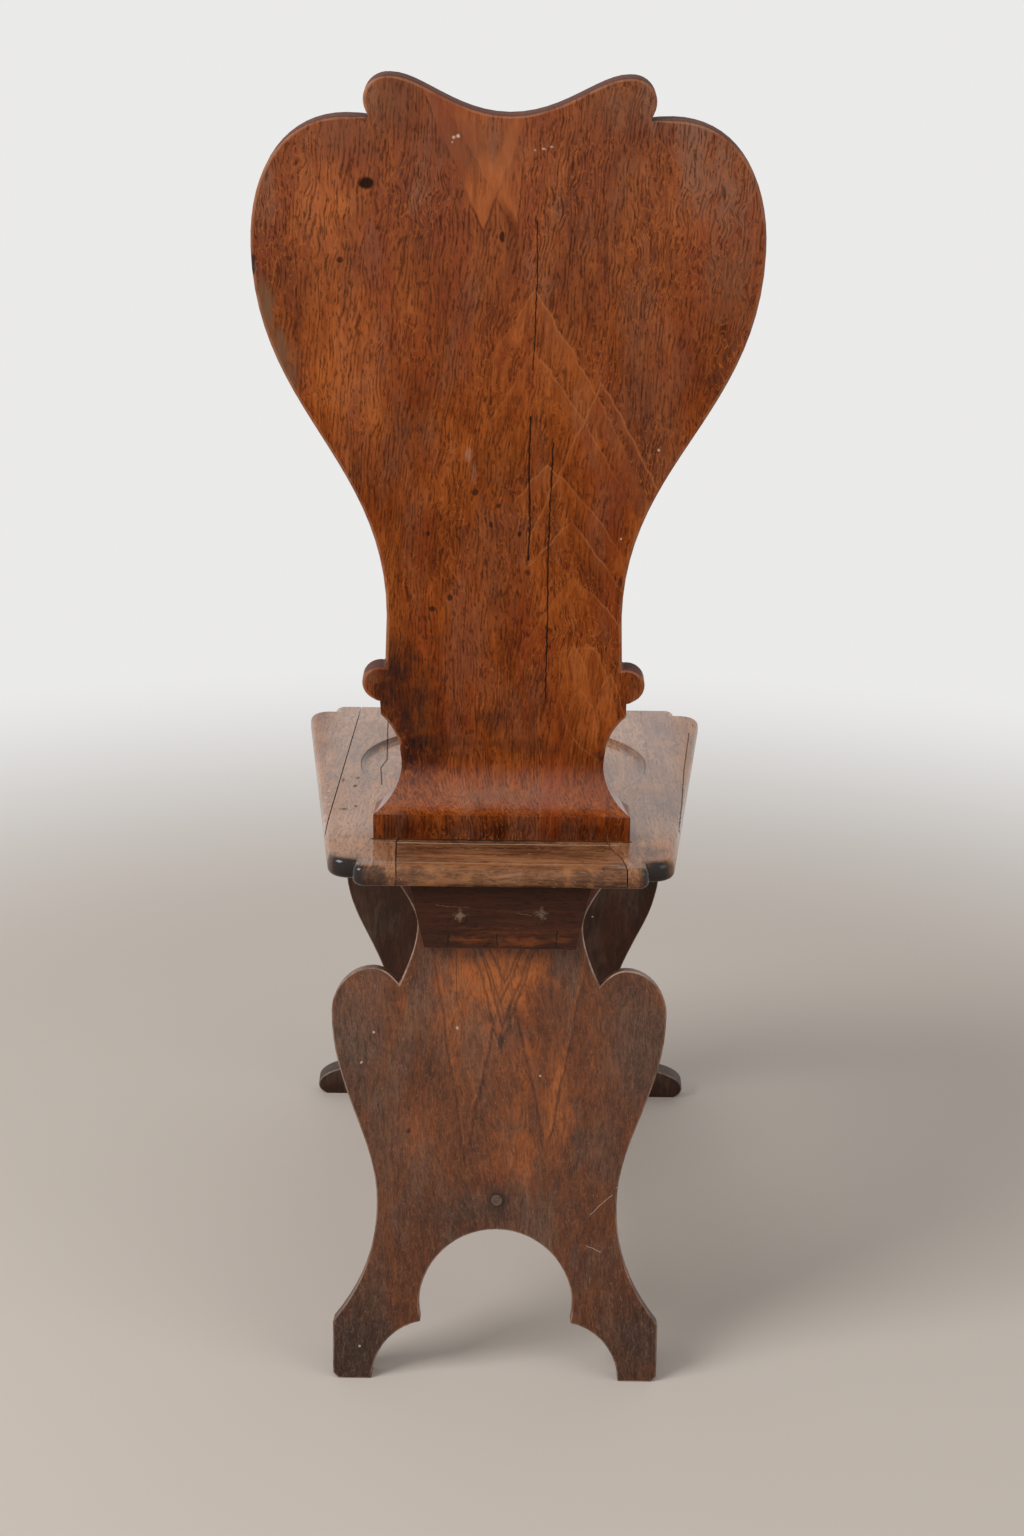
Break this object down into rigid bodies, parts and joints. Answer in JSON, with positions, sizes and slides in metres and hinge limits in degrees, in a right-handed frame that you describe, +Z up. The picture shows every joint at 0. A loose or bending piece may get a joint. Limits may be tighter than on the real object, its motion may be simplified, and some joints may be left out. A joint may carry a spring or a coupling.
{
  "type": "sgabello hall chair",
  "caption": "Hall chair with a shaped plank back, a thin dished plank seat with stepped corners, and raked plank supports cut to a lobed outline with an arch between the feet.",
  "frame": {"origin": "on the floor, midway between the feet in width and in depth", "axes": "+Z up, +Y the way the sitter faces, X across the chair"},
  "size_m": [0.3706, 0.5552, 0.9857],
  "materials": {
    "back_wood": "old waxed polish, red brown with vertical grain",
    "seat_wood": "worn wax polish, grey brown",
    "seat_edge_wood": "glossy wax polish, golden on the worn arris",
    "leg_wood": "dark waxed polish",
    "cleat_wood": "very dark old polish",
    "peg_wood": "end grain, worn",
    "hidden_wood": "dull, unpolished"
  },
  "bodies": {
    "root": {"back_board": "back_wood", "seat_board": "seat_wood", "seat_strip_left": "seat_wood", "seat_strip_right": "seat_wood", "seat_rear_piece": "seat_edge_wood", "rear_support": "leg_wood", "front_support": "leg_wood", "stretcher": "hidden_wood", "stretcher_pegs": "peg_wood", "rear_cleat": "cleat_wood", "cleat_pegs": "peg_wood", "tenon_keys": "hidden_wood", "front_glue_blocks": "hidden_wood", "rear_glue_blocks": "hidden_wood"}
  },
  "joints": []
}
